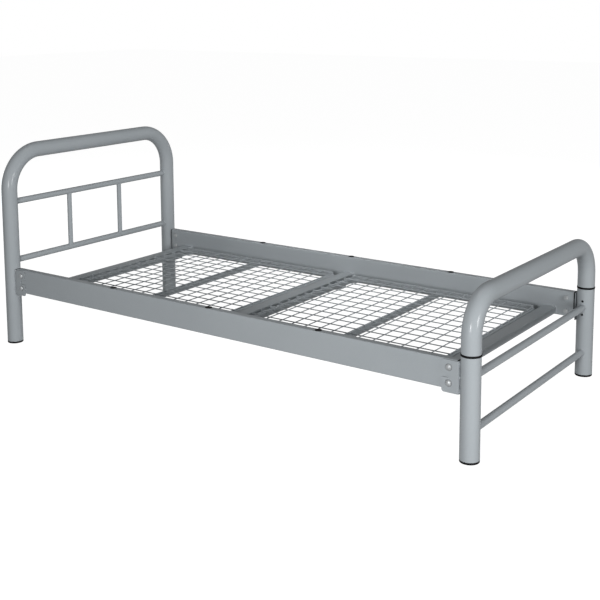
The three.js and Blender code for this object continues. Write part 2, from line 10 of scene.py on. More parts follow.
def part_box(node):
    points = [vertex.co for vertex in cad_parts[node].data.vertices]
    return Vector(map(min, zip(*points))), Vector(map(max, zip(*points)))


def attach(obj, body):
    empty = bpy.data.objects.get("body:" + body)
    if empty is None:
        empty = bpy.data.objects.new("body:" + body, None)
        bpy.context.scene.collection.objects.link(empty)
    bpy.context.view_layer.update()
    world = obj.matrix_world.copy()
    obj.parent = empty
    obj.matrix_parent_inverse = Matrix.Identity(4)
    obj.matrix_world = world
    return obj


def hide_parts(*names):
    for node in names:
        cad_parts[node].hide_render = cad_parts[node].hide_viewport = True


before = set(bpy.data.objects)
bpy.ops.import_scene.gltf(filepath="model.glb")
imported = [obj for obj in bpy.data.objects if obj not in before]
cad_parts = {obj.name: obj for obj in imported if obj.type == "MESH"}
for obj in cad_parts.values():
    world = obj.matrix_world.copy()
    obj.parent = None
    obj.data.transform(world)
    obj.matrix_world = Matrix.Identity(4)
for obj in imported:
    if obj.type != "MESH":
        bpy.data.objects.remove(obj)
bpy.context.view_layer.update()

# ---------------------------------------------------------------- head hoop
# The headboard is one length of thin-wall steel tube, bent cold to an upside-down U whose two ends are
# the head legs. All steelwork is sprayed with satin silver-grey powder after welding.

MM = 0.001
X = np.array([1.0, 0.0, 0.0])
MERGE_WITHIN = MM / 1000
CREASE = 35


def ends_of(node):
    """The lowest and highest corner of a node's box as arrays."""
    low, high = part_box(node)
    return np.array(low), np.array(high)


def middle_of(node):
    """The middle of a node's box."""
    low, high = ends_of(node)
    return (low + high) / 2


def grid_faces(rows, columns, close_rows=False, close_columns=True):
    """Corner numbers of the faces between the points of a grid, wrapped round where it closes."""
    row, column = np.meshgrid(
        np.arange(rows - (not close_rows)),
        np.arange(columns - (not close_columns)),
        indexing="ij",
    )
    next_row, next_column = (row + 1) % rows, (column + 1) % columns
    corners = [
        row * columns + column,
        row * columns + next_column,
        next_row * columns + next_column,
        next_row * columns + column,
    ]
    return np.stack(corners, axis=-1).reshape(-1, 4)


def outward(points, faces):
    """The faces, turned over if they point inwards: their tetrahedra from the middle then add up below 0."""
    a, b, c, d = (points[faces[:, i]] - points.mean(0) for i in range(4))
    volume = np.einsum("ij,ij->", a, np.cross(b, c) + np.cross(c, d))
    return faces if volume > 0 else faces[:, ::-1]


def piece(name, surfaces, finish, body="frame", replaces=(), edge=CREASE):
    """One object made of grids of points, each paired with whether its rows close. Columns always do.

    Edges sharper than `edge` degrees show as creases.
    """
    points, faces, count = [], [], 0
    for grid, close_rows in surfaces:
        corners = grid.reshape(-1, 3)
        patch = outward(corners, grid_faces(*grid.shape[:2], close_rows))
        points.append(corners)
        faces.append(patch + count)
        count += len(corners)
    return mesh_piece(name, np.concatenate(points), np.concatenate(faces), finish, body, replaces, edge)


def mesh_piece(name, points, faces, finish, body, replaces, edge=CREASE, facing=None):
    """One object from points and faces, with points that coincide merged.

    A one-sided sheet is turned to face along `facing` for most of its area.
    """
    mesh = bpy.data.meshes.new(name)
    mesh.from_pydata(points.tolist(), [], [[int(corner) for corner in face] for face in faces])
    shape = bmesh.new()
    shape.from_mesh(mesh)
    bmesh.ops.remove_doubles(shape, verts=shape.verts, dist=MERGE_WITHIN)
    loose = [vertex for vertex in shape.verts if not vertex.link_faces]
    bmesh.ops.delete(shape, geom=loose, context="VERTS")
    if facing is not None:
        bmesh.ops.recalc_face_normals(shape, faces=shape.faces)
        if sum(face.calc_area() * face.normal.dot(facing) for face in shape.faces) < 0:
            bmesh.ops.reverse_faces(shape, faces=shape.faces)
    shape.to_mesh(mesh)
    shape.free()
    mesh.polygons.foreach_set("use_smooth", [True] * len(mesh.polygons))
    mesh.set_sharp_from_angle(angle=math.radians(edge))
    mesh.materials.append(finish.material)
    made = bpy.data.objects.new(name, mesh)
    bpy.context.scene.collection.objects.link(made)
    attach(made, body)
    if replaces:
        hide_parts(*replaces)
    return made


class Socket:
    """One output of a node. Arithmetic on it adds Math nodes to the same tree."""

    def __init__(self, nodes, link):
        self.nodes = nodes
        self.link = link

    def math(self, operation, first, second):
        return self.nodes.node("ShaderNodeMath", {"operation": operation}, {0: first, 1: second})

    def __add__(self, other):
        return self.math("ADD", self, other)

    __radd__ = __add__

    def __sub__(self, other):
        return self.math("SUBTRACT", self, other)

    def __rsub__(self, other):
        return self.math("SUBTRACT", other, self)

    def __mul__(self, other):
        return self.math("MULTIPLY", self, other)

    __rmul__ = __mul__

    def __abs__(self):
        return self.math("ABSOLUTE", self, 0.0)

    def root(self):
        return self.math("SQRT", self, 0.0)


class Nodes:
    """The nodes of a material or of the sky."""

    def __init__(self, tree):
        self.tree = tree

    def feed(self, entry, value):
        """Links a socket of this tree to a node's input, or sets the input to a plain value."""
        if isinstance(value, Socket):
            self.tree.links.new(value.link, entry)
        else:
            entry.default_value = value

    def node(self, kind, settings=None, inputs=None, output=0):
        """Adds a node: its settings first, then the values or links of its sockets."""
        made = self.tree.nodes.new(kind)
        for key, value in (settings or {}).items():
            setattr(made, key, value)
        for key, value in (inputs or {}).items():
            self.feed(made.inputs[key], value)
        return Socket(self, made.outputs[output])

    def ramp(self, value, low, high, to_low=0.0, to_high=1.0):
        """The value, with low..high stretched to to_low..to_high and held level outside."""
        inputs = {0: value, 1: low, 2: high, 3: to_low, 4: to_high}
        return self.node("ShaderNodeMapRange", {"clamp": True}, inputs)


class Finish(Nodes):
    """A material, the record's slot it belongs to, and the patterns that its nodes make."""

    def __init__(self, name, slot):
        self.slot = slot
        self.material = bpy.data.materials.new(name)
        self.material.use_nodes = True
        super().__init__(self.material.node_tree)
        self.surface = self.tree.nodes["Principled BSDF"]
        self.place = self.node("ShaderNodeTexCoord", output="Object")

    def noise(self, scale, detail=2.0, roughness=0.5):
        """A cloudy pattern between 0 and 1, with about `scale` clouds to the metre."""
        inputs = {"Vector": self.place, "Scale": scale, "Detail": detail, "Roughness": roughness}
        return self.node("ShaderNodeTexNoise", None, inputs, "Fac")

    def blend(self, factor, first, second):
        """A colour between the first, where factor is 0, and the second, where it is 1."""
        settings = {"data_type": "RGBA", "clamp_factor": True}
        return self.node("ShaderNodeMix", settings, {0: factor, 6: first, 7: second}, 2)

    def bump(self, height, strength, distance):
        """Normals for a skin whose full height stands `distance` metres proud."""
        inputs = {"Height": height, "Strength": strength, "Distance": distance}
        return self.node("ShaderNodeBump", None, inputs)

    def shade(self, **sockets):
        """Sets or links the surface's own sockets, named with _ for a space."""
        for name, value in sockets.items():
            self.feed(self.surface.inputs[name.replace("_", " ")], value)


def silver_powder_coat(name="silver_powder_coat", painted_shade=None):
    """Satin powder over steel: a skin like orange peel, a fine metallic speck and slow drifts in tone.

    Its last argument gives a mask of where shade is painted near-black into the colour, in gaps and recesses.
    """
    coat = Finish(name, "silver_paint")
    drift = coat.ramp(coat.noise(2.6, 3.0), 0.3, 0.7)
    speck = coat.ramp(coat.noise(1400.0, 1.0), 0.35, 0.75)
    peel = coat.noise(420.0, 2.0)
    tone = coat.blend(drift, (0.307, 0.335, 0.354, 1), (0.334, 0.362, 0.381, 1))
    tone = coat.blend(speck * 0.35, tone, (0.45, 0.48, 0.50, 1))
    # Painted shade: near-black is mixed into the colour where the mask is 1.
    if painted_shade:
        tone = coat.blend(painted_shade(coat), tone, (0.06, 0.062, 0.065, 1))
    coat.shade(
        Base_Color=tone,
        Roughness=0.42 + peel * 0.1,
        Specular_IOR_Level=0.12,
        Coat_Weight=0.4,
        Coat_Roughness=0.16,
        Coat_IOR=1.4,
        Normal=coat.bump(peel + 0.4 * coat.noise(60.0, 2.0), 0.16, 0.0004),
    )
    return coat


silver = silver_powder_coat()
POST_LOW, POST_HIGH = ends_of("foot_post_near")
POST_RADIUS = (POST_HIGH[0] - POST_LOW[0]) / 2
POST_Y = ends_of("head_hoop")[1][1] - POST_RADIUS
POST_WALL = 1.5 * MM
HEAD_X = middle_of("head_hoop")[0]
HEAD_BEND = 155 * MM
BEND_STEPS = 28
TUBE_SIDES = 64
EASED_END = 0.6 * MM
# A small round edge is drawn with three points. Its middle one stands this share of the radius in.
ROUND_MIDDLE = 0.3


def unit(vector):
    """The vector, at a length of 1."""
    return vector / np.linalg.norm(vector)


def bent_path(corners, bend, steps, closed=False):
    """Points and directions along straight runs joined by round bends.

    A bend of turn t starts bend x tan(t/2) before its corner; its points are
    centre - inward x bend cos a + ahead x bend sin a, for a from 0 to t.
    """
    corners = [np.array(corner, float) for corner in corners]
    points, directions = [], []
    if not closed:
        points.append(corners[0][None])
        directions.append(unit(corners[1] - corners[0])[None])
    count = len(corners)
    for i in range(0 if closed else 1, count if closed else count - 1):
        ahead = unit(corners[i] - corners[i - 1])
        after = unit(corners[(i + 1) % count] - corners[i])
        turn = math.acos(ahead @ after)
        inward = unit(after - ahead * (ahead @ after))
        centre = corners[i] - ahead * bend * math.tan(turn / 2) + inward * bend
        a = np.linspace(0, turn, steps + 1)[:, None]
        points.append(centre - inward * bend * np.cos(a) + ahead * bend * np.sin(a))
        directions.append(ahead * np.cos(a) + inward * np.sin(a))
    if not closed:
        points.append(corners[-1][None])
        directions.append(unit(corners[-1] - corners[-2])[None])
    return np.concatenate(points), np.concatenate(directions)


def rings(points, directions, level, radius, sides):
    """Circles round a path that lies in the plane square to `level`.

    Each is point + radius (level cos a + (level x direction) sin a).
    """
    a = np.linspace(0, 2 * math.pi, sides, endpoint=False)[None, :, None]
    across = np.cross(level, directions)[:, None]
    radius = np.broadcast_to(radius, len(points))[:, None, None]
    return points[:, None] + radius * (level * np.cos(a) + across * np.sin(a))


def open_tube(path, level, radius, wall):
    """A tube out along its outer wall and back along its bore, its two cut ends eased.

    The rings next to a cut stand back by 0, the round's middle, 1 and 2 times the ease, and are slimmer
    by 1, the round's middle, 0 and 0 times it. The last one keeps the shading straight.
    """
    points, directions = path
    back = EASED_END * np.array([0.0, ROUND_MIDDLE, 1.0, 2.0])
    start = points[0] + directions[0] * back[:, None]
    end = points[-1] - directions[-1] * back[::-1, None]
    line = np.concatenate([start, points[1:-1], end])
    heading = np.concatenate([directions[[0] * 4], directions[1:-1], directions[[-1] * 4]])
    radii = np.full(len(line), radius)
    radii[:3] -= back[2::-1]
    radii[-3:] -= back[:3]
    outer = rings(line, heading, level, radii, TUBE_SIDES)
    bore = rings(points, directions, level, radius - wall, TUBE_SIDES)
    return np.concatenate([outer, bore[::-1]]), True


def hoop_path(x, base, height, bend):
    """Up the near leg, across the bed and down the far leg, at one place along it."""
    corners = [(x, -POST_Y, base), (x, -POST_Y, height), (x, POST_Y, height), (x, POST_Y, base)]
    return bent_path(corners, bend, BEND_STEPS)


head_low, head_high = ends_of("head_hoop")
head_path = hoop_path(HEAD_X, head_low[2], head_high[2] - POST_RADIUS, HEAD_BEND)
piece("head_hoop_tube", [open_tube(head_path, X, POST_RADIUS, POST_WALL)], silver, replaces=["head_hoop"])

# ---------------------------------------------------------------- foot hoop and its spigots
# The footboard's top is a separate bent tube. A turned steel spigot is pressed into each of its legs,
# and drops into the plastic sleeve of the post below, so the hoop lifts straight off.

Y = np.array([0.0, 1.0, 0.0])
Z = np.array([0.0, 0.0, 1.0])
SIDES = (("near", -1), ("far", 1))
FOOT_X = middle_of("foot_post_near")[0]
FOOT_BEND = 115 * MM
SPIGOT_WALL = 2 * MM
SPIGOT_SHOULDER = 2.7 * MM
LEAD_IN = 2 * MM
foot_low, foot_high = ends_of("foot_hoop")
foot_path = hoop_path(FOOT_X, foot_low[2], foot_high[2] - POST_RADIUS, FOOT_BEND)
piece("foot_hoop_tube", [open_tube(foot_path, X, POST_RADIUS, POST_WALL)], silver, "foot_hoop", ["foot_hoop"])


def turned(profile, origin, axis, sides=48):
    """A profile of (radius, height) turned about an axis: origin + axis h + r (u cos a + v sin a)."""
    u = X if abs(axis @ X) < 0.5 else Y
    v = np.cross(axis, u)
    a = np.linspace(0, 2 * math.pi, sides, endpoint=False)[None, :, None]
    radius, height = np.array(profile, float).T[:, :, None, None]
    return origin + axis * height + radius * (u * np.cos(a) + v * np.sin(a))


def zinc_plate():
    """Zinc on steel: soft blotches of dulled plate and a faint grain."""
    plate = Finish("bright_zinc_plate", "zinc_steel")
    dull = plate.ramp(plate.noise(160.0, 4.0, 0.6), 0.4, 0.7)
    plate.shade(
        Base_Color=plate.blend(dull, (0.50, 0.52, 0.53, 1), (0.38, 0.40, 0.41, 1)),
        Metallic=0.45,
        Roughness=0.38 + dull * 0.12,
        Normal=plate.bump(plate.noise(900.0, 2.0), 0.12, 0.0002),
    )
    return plate


zinc = zinc_plate()
for side, sign in SIDES:
    node = f"foot_spigot_{side}"
    low, high = ends_of(node)
    step = foot_low[2]
    wide = (high[0] - low[0]) / 2
    slim = wide - SPIGOT_SHOULDER
    bore = slim - SPIGOT_WALL
    profile = [
        (bore, low[2]), (slim - MM, low[2]), (slim, low[2] + LEAD_IN), (slim, step - 0.2 * MM),
        (wide, step), (wide, high[2] - MM), (wide - MM, high[2]), (bore, high[2]),
    ]
    centre = np.array([FOOT_X, sign * POST_Y, 0.0])
    piece(f"spigot_{side}", [(turned(profile, centre, Z), True)], zinc, "foot_hoop", [node])

# ---------------------------------------------------------------- foot posts
# Short lengths of the same tube carry the foot hoop. Each has two round holes drilled in its inner
# side, just above and below the upper bar.

ENDS = (("head", -1), ("foot", 1))
HOLE_RADIUS = 4.5 * MM
HOLE_OFFSET = 25 * MM
# The square of faces that gives way round a hole reaches this many radii from the hole's middle, and
# each of its sides is cut into this many steps.
SQUARE_REACH = 1.5
HOLE_STEPS = 8
# A line of the sheet this close to a cut end keeps the shading straight up to it.
LIP = 0.5 * MM


def lines_with_holes(lines, centres, half):
    """Grid lines that cut the square round each hole into equal steps, with no other line inside it."""
    lines = np.asarray(lines, float)
    for centre in np.unique(np.round(centres, 6)):
        lines = lines[np.abs(lines - centre) > half + MERGE_WITHIN]
    squares = [c + half * np.linspace(-1, 1, HOLE_STEPS + 1) for c in np.unique(np.round(centres, 6))]
    return np.unique(np.round(np.concatenate([lines, *squares]), 7))


def pierced_sheet(u_lines, v_lines, holes, radius):
    """A flat sheet with round holes, as points (u, v) and faces.

    The square of faces round a hole gives way to a ring of faces between the square's edge and the circle.
    """
    half = radius * SQUARE_REACH
    holes = np.round(np.array(holes, float), 6)
    u = lines_with_holes(u_lines, holes[:, 0], half)
    v = lines_with_holes(v_lines, holes[:, 1], half)
    points = np.stack(np.meshgrid(u, v, indexing="ij"), -1)
    faces = grid_faces(len(u), len(v), False, False)
    corner = points.reshape(-1, 2)[faces].mean(1)
    numbers = np.arange(len(u) * len(v)).reshape(len(u), len(v))
    points = [points.reshape(-1, 2)]
    rims = []
    count = len(points[0])
    for hole in holes:
        inside = (np.abs(corner - hole) < half).all(1)
        faces, corner = faces[~inside], corner[~inside]
        i, j = np.argmin(np.abs(u - hole[0] + half)), np.argmin(np.abs(v - hole[1] + half))
        square = numbers[i : i + HOLE_STEPS + 1, j : j + HOLE_STEPS + 1]
        edge = np.concatenate([square[:-1, 0], square[-1, :-1], square[:0:-1, -1], square[0, :0:-1]])
        out = points[0][edge] - hole
        circle = hole + radius * out / np.linalg.norm(out, axis=1)[:, None]
        rim = count + np.arange(len(edge))
        rims.append(np.stack([edge, np.roll(edge, -1), np.roll(rim, -1), rim], -1))
        points.append(circle)
        count += len(edge)
    return np.concatenate(points), np.concatenate([faces, *rims])


def walled(made, thickness, bevel=0.0):
    """Walls a one-sided sheet on the side away from its normals, and eases its edges when given a bevel."""
    solid = made.modifiers.new("wall", "SOLIDIFY")
    solid.thickness = thickness
    solid.offset = -1
    if bevel:
        eased = made.modifiers.new("eased_edges", "BEVEL")
        eased.width = bevel
        eased.segments = 2
        eased.harden_normals = True
        eased.limit_method = "ANGLE"
        eased.angle_limit = math.radians(50)
    return made


BARS = [f"{end}_bar_{level}" for end, _ in ENDS for level in ("lower", "upper")]
BAR_Z = {node: middle_of(node)[2] for node in BARS}
for side, sign in SIDES:
    low, high = ends_of(f"foot_post_{side}")
    inner = -sign * math.pi / 2
    girth = 2 * math.pi * POST_RADIUS
    holes = [(girth / 2, BAR_Z["foot_bar_upper"] + step * HOLE_OFFSET) for step in (-1, 1)]
    heights = [low[2], low[2] + LIP, high[2] - LIP, high[2]]
    flat, faces = pierced_sheet(np.linspace(0, girth, TUBE_SIDES + 1), heights, holes, HOLE_RADIUS)
    angle = flat[:, 0] / POST_RADIUS - math.pi + inner
    centre = np.array([FOOT_X, sign * POST_Y, 0.0])
    rolled = centre + np.stack([POST_RADIUS * np.cos(angle), POST_RADIUS * np.sin(angle), flat[:, 1]], -1)
    node = f"foot_post_{side}"
    made = mesh_piece(f"foot_post_tube_{side}", rolled, outward(rolled, faces), silver, "frame", [node])
    walled(made, POST_WALL)

# ---------------------------------------------------------------- collars and glides
# Moulded black plastic: a collar that lines the top of each foot post and shows as a thin ring below
# the hoop, and a glide pushed into the bottom of every leg so that steel never touches the floor.


def black_moulding():
    """Matt black plastic with a fine spark-eroded grain, paler where it has been scuffed."""
    plastic = Finish("black_moulding", "black_plastic")
    scuff = plastic.ramp(plastic.noise(240.0, 5.0, 0.65), 0.55, 0.8)
    grain = plastic.noise(2200.0, 1.0)
    plastic.shade(
        Base_Color=plastic.blend(scuff, (0.006, 0.006, 0.0065, 1), (0.016, 0.016, 0.017, 1)),
        Roughness=0.55 + scuff * 0.1,
        Specular_IOR_Level=0.12,
        Normal=plastic.bump(grain, 0.2, 0.0001),
    )
    return plastic


black = black_moulding()
GAP = 0.3 * MM
SLEEVE_RADIUS = POST_RADIUS - POST_WALL - 0.6 * MM
SLEEVE_WALL = 2.4 * MM
COLLAR_BOW = 1.2 * MM
for side, sign in SIDES:
    node = f"foot_collar_{side}"
    low, high = ends_of(node)
    base, top = POST_HIGH[2] + GAP, high[2]
    rim = (high[0] - low[0]) / 2
    bore = SLEEVE_RADIUS - SLEEVE_WALL
    bow, middle = COLLAR_BOW, ROUND_MIDDLE * COLLAR_BOW
    profile = [
        (bore, low[2]), (SLEEVE_RADIUS - MM, low[2]), (SLEEVE_RADIUS, low[2] + LEAD_IN),
        (SLEEVE_RADIUS, base), (rim - bow, base), (rim - middle, base + middle), (rim, base + bow),
        (rim, top - bow), (rim - middle, top - middle), (rim - bow, top), (bore, top),
    ]
    centre = np.array([FOOT_X, sign * POST_Y, 0.0])
    piece(f"collar_{side}", [(turned(profile, centre, Z, TUBE_SIDES), True)], black, "frame", [node])

GLIDE_TOP = ends_of("head_hoop")[0][2] - GAP
for end, _ in ENDS:
    for side, _ in SIDES:
        node = f"{end}_glide_{side}"
        crown = ends_of(node)[1][2]
        profile = [
            (0, 0), (POST_RADIUS - 2 * MM, 0), (POST_RADIUS - 0.6 * MM, 0.5 * MM), (POST_RADIUS, 1.8 * MM),
            (POST_RADIUS, GLIDE_TOP - 0.5 * MM), (POST_RADIUS - 0.5 * MM, GLIDE_TOP),
            (SLEEVE_RADIUS, GLIDE_TOP), (SLEEVE_RADIUS, crown - LEAD_IN),
            (SLEEVE_RADIUS - LEAD_IN, crown), (0, crown),
        ]
        centre = middle_of(node) * np.array([1, 1, 0])
        glide = turned(profile, centre, Z, TUBE_SIDES)
        piece(f"glide_{end}_{side}", [(glide, False)], black, "frame", [node])

# ---------------------------------------------------------------- bars, spindles and their welds
# Slim round bars are cut to the curve of the posts and welded all round. Two upright spindles are
# fitted in the same way between the two bars of the headboard.

BAR_WALL = 1.5 * MM
SPINDLE_WALL = 1.2 * MM
BEAD = 1.9 * MM
SPINDLE_BEAD = 0.7 * BEAD


def coped_tube(start, end, level, radius, wall, saddle, sides=40):
    """A straight tube between two round ones that cross it squarely, its ends cut to their curve.

    start and end are on those tubes' centre lines, and `level` is square to all three. At angle a
    round the tube its end stands back by the root of saddle^2 - (r cos a)^2.
    """
    ahead = unit(end - start)
    upright = np.cross(ahead, level)
    a = np.linspace(0, 2 * math.pi, sides, endpoint=False)[:, None]

    def edge(r, from_end):
        back = np.sqrt(saddle**2 - (r * np.cos(a)) ** 2)
        origin = end - ahead * back if from_end else start + ahead * back
        return origin + r * (level * np.cos(a) + upright * np.sin(a))

    bore = radius - wall
    return np.stack([edge(radius, False), edge(radius, True), edge(bore, True), edge(bore, False)]), True


def saddle_bead(start, ahead, level, radius, saddle, size, sides=72, ripples=18):
    """A weld bead along the curve where a tube meets a round one: a thin rope whose thickness ripples.

    Its thickness is size (1 + 0.13 cos(ripples a) + 0.08 sin(5 a + 1)) at angle a round the tube.
    """
    upright = np.cross(ahead, level)
    a = np.linspace(0, 2 * math.pi, sides, endpoint=False)[:, None, None]
    b = np.linspace(0, 2 * math.pi, 10, endpoint=False)[None, :, None]
    radial = level * np.cos(a) + upright * np.sin(a)
    line = start + ahead * np.sqrt(saddle**2 - (radius * np.cos(a)) ** 2) + radius * radial
    rope = size * (1 + 0.13 * np.cos(ripples * a) + 0.08 * np.sin(5 * a + 1))
    return line + rope * (radial * np.cos(b) + ahead * np.sin(b)), True


BAR_RADIUS = (ends_of("head_bar_upper")[1][2] - ends_of("head_bar_upper")[0][2]) / 2
for node, z in BAR_Z.items():
    x = HEAD_X if node.startswith("head") else FOOT_X
    near, far = np.array([x, -POST_Y, z]), np.array([x, POST_Y, z])
    tube = coped_tube(near, far, X, BAR_RADIUS, BAR_WALL, POST_RADIUS + GAP)
    piece(f"{node}_tube", [tube], silver, "frame", [node])
    for side, start, ahead in (("near", near, Y), ("far", far, -Y)):
        bead = saddle_bead(start, ahead, X, BAR_RADIUS, POST_RADIUS, BEAD)
        piece(f"{node}_weld_{side}", [bead], silver)

SPINDLE_RADIUS = (ends_of("head_spindle_near")[1][0] - ends_of("head_spindle_near")[0][0]) / 2
for side, _ in SIDES:
    node = f"head_spindle_{side}"
    y = middle_of(node)[1]
    foot = np.array([HEAD_X, y, BAR_Z["head_bar_lower"]])
    top = np.array([HEAD_X, y, BAR_Z["head_bar_upper"]])
    tube = coped_tube(foot, top, X, SPINDLE_RADIUS, SPINDLE_WALL, BAR_RADIUS + GAP, 32)
    piece(f"{node}_tube", [tube], silver, "frame", [node])
    for place, start, ahead in (("foot", foot, Z), ("top", top, -Z)):
        bead = saddle_bead(start, ahead, X, SPINDLE_RADIUS, BAR_RADIUS, SPINDLE_BEAD, 56, 14)
        piece(f"{node}_weld_{place}", [bead], silver)

# ---------------------------------------------------------------- side rails
# Each rail is rectangular steel tube with rolled corners, drilled for the bolts and for three plugs
# in its top; only the bolt holes are cut here. A black plastic cap closes each end, and domed black
# plugs close the holes on top.

RAIL_LOW, RAIL_HIGH = ends_of("rail_far")
RAIL_HEIGHT = RAIL_HIGH[2] - RAIL_LOW[2]
RAIL_THICKNESS = RAIL_HIGH[1] - RAIL_LOW[1]
RAIL_WALL = 1.5 * MM
RAIL_CORNER = 4 * MM
BOLT_HOLE_RADIUS = 4.3 * MM
PLUG_BRIM = 0.6 * MM
PLUG_FLAT = 0.25
CAP_RIM = 4.5 * MM
CAP_TONGUE = 14 * MM
PLUGS_X = [middle_of(f"rail_plug_far_{i}")[0] for i in (1, 2, 3)]
BOLT_PLACES = [f"bolt_{end}_far_{level}" for end, _ in ENDS for level in ("lower", "upper")]
BOLTS = [middle_of(node)[[0, 2]] for node in BOLT_PLACES]


def rounded_rectangle(width, height, corner, steps=6):
    """The outline of a rectangle about the origin, anticlockwise from the middle of its right side."""
    a = np.linspace(0, math.pi / 2, steps + 1)
    quarters = []
    for turn, (x, y) in enumerate([(1, 1), (-1, 1), (-1, -1), (1, -1)]):
        bow = corner * np.stack([np.cos(a + turn * math.pi / 2), np.sin(a + turn * math.pi / 2)], -1)
        quarters.append(np.array([x * (width / 2 - corner), y * (height / 2 - corner)]) + bow)
    return np.concatenate([[[width / 2, 0.0]], *quarters])


def round_about(outline):
    """The distance round a closed outline at each of its points, and once more at its start."""
    closed = np.concatenate([outline, outline[:1]])
    return np.concatenate([[0.0], np.cumsum(np.linalg.norm(np.diff(closed, axis=0), axis=1))])


def bolt_holes(girth, height):
    """The bolts' places on the flat sheet, on the rail's outer and inner sides: (round it, along it)."""
    holes = []
    for x, z in BOLTS:
        up = z - height
        holes += [(up % girth, x), (girth / 2 - up, x)]
    return holes


def wrapped(flat, outline, girth, centre):
    """Points (distance round the outline, distance along X) on the wrapped sheet."""
    closed = np.concatenate([outline, outline[:1]])
    y = np.interp(flat[:, 0], girth, closed[:, 0])
    z = np.interp(flat[:, 0], girth, closed[:, 1])
    return np.stack([flat[:, 1], centre[1] + y, centre[2] + z], -1)


def shut(loops):
    """A stack of closed loops, with a loop drawn together to a point at either end."""
    first, last = (np.broadcast_to(loop.mean(0), loop.shape) for loop in (loops[0], loops[-1]))
    return np.stack([first, *loops, last]), False


def cap_rings(centre, out, insets):
    """Rounded rectangles square to X, each (distance along `out`, inset from the rail's outline)."""
    made = []
    for along, inset in insets:
        corner = max(RAIL_CORNER - inset, 0.4 * MM)
        loop = rounded_rectangle(RAIL_THICKNESS - 2 * inset, RAIL_HEIGHT - 2 * inset, corner)
        at = centre[0] + out * along
        made.append(np.stack([np.full(len(loop), at), centre[1] + loop[:, 0], centre[2] + loop[:, 1]], -1))
    return shut(made)


for side, sign in SIDES:
    centre = middle_of(f"rail_{side}")
    outline = rounded_rectangle(RAIL_THICKNESS, RAIL_HEIGHT, RAIL_CORNER)
    girth = round_about(outline)
    holes = bolt_holes(girth[-1], centre[2])
    along = [RAIL_LOW[0], RAIL_LOW[0] + LIP, 0.0, RAIL_HIGH[0] - LIP, RAIL_HIGH[0]]
    flat, faces = pierced_sheet(girth, along, holes, BOLT_HOLE_RADIUS)
    shell = wrapped(flat, outline, girth, centre)
    faces = outward(shell, faces)
    made = mesh_piece(f"rail_tube_{side}", shell, faces, silver, "frame", [f"rail_{side}"], 25)
    walled(made, RAIL_WALL)
    for i, x in enumerate(PLUGS_X, 1):
        node = f"rail_plug_{side}_{i}"
        low, high = ends_of(node)
        radius = (high[0] - low[0]) / 2
        seat = RAIL_HIGH[2] + GAP
        brim = seat + PLUG_BRIM
        a = np.linspace(0, math.pi / 2, 7)
        spread = PLUG_FLAT + (1 - PLUG_FLAT) * np.cos(a)
        dome = np.stack([radius * spread, brim + (high[2] - brim) * np.sin(a)], -1)
        profile = [(0, seat), (radius - 0.2 * MM, seat), *dome, (0, high[2])]
        at = np.array([x, centre[1], 0.0])
        piece(f"plug_{side}_{i}", [(turned(profile, at, Z), False)], black, "frame", [node])
    for end, direction in ENDS:
        seat = direction * RAIL_HIGH[0] + direction * GAP
        base = np.array([seat, centre[1], centre[2]])
        tip, rim = -CAP_TONGUE, CAP_RIM
        insets = [
            (tip, 3 * MM), (tip, 2.2 * MM), (tip + LEAD_IN, 1.9 * MM), (0, 1.9 * MM), (0, 0.2 * MM),
            (0.3 * MM, 0), (rim - 0.8 * MM, 0), (rim - 0.2 * MM, 0.25 * MM), (rim, 0.9 * MM), (rim, 4 * MM),
        ]
        cap = cap_rings(base, direction, insets)
        piece(f"end_cap_{end}_{side}", [cap], black, "frame", [f"rail_cap_{end}_{side}"], 40)

# ---------------------------------------------------------------- angle brackets
# A 3 mm plate with two round-cornered ears and a slot between them, folded round the rail's end and
# stitch-welded to the post along its inner leg. Each ear is pressed in a little round its bolt. The
# pressing is not modelled: its shade is painted as a dark ring in the coat's colour, and painted shade
# also darkens the plate's cut edges where they meet the rail.

PLATE = 3 * MM
FOLD = 8 * MM
EAR_CORNER = 9 * MM
SLOT_HEIGHT = 16 * MM
SLOT_DEPTH = 27 * MM
SLOT_MOUTH = 4 * MM
BOLT_INSET = 24 * MM
# A ring of painted shade round each bolt: its outer radius, its width and how dark it is at most.
SHADE_RING_RADIUS = 12.2 * MM
SHADE_RING_WIDTH = 1.6 * MM
SHADE_RING_DARKNESS = 0.75
STITCH_OUT = 10 * MM
STITCH_SIZE = (2.6 * MM, 4.2 * MM, 5 * MM)
STITCH_HEIGHTS = (9 * MM, 52 * MM, 95 * MM)
RAIL_FACE = abs(ends_of("rail_near")[0][1])
BRACKET_END = ends_of("bracket_foot_far")[1][0]


def painted_crevice_shade(coat):
    """Where shade is painted: 1 on the cut edges next to the rail, less in a ring round each bolt, else 0."""
    split = coat.node("ShaderNodeSeparateXYZ", None, {0: coat.place})
    x, y, z = (abs(Socket(coat, split.link.node.outputs[i])) for i in range(3))
    # Painted shade on the plate's cut edges within 2 mm of the rail, over the flat part only.
    edge = coat.ramp(y, RAIL_FACE + 1.3 * MM, RAIL_FACE + 2.0 * MM, 1.0, 0.0)
    flat = coat.ramp(x, BRACKET_END - FOLD, BRACKET_END - FOLD + MM, 1.0, 0.0)
    shade_mask = edge * flat * coat.ramp(y, RAIL_FACE - MM, RAIL_FACE)
    # Painted shade in a ring round each bolt, on the plate's outer face.
    for across, height in BOLTS[-2:]:
        away = (x - across) * (x - across) + (z - height) * (z - height)
        ring = coat.ramp(away.root(), SHADE_RING_RADIUS - SHADE_RING_WIDTH, SHADE_RING_RADIUS, SHADE_RING_DARKNESS, 0.0)
        shade_mask = shade_mask + ring * coat.ramp(y, RAIL_FACE, RAIL_FACE + MM)
    return shade_mask


def arc(centre, radius, start, end, steps):
    """Points on a circle from one angle to another, in degrees."""
    a = np.radians(np.linspace(start, end, steps + 1))
    return np.array(centre) + radius * np.stack([np.cos(a), np.sin(a)], -1)


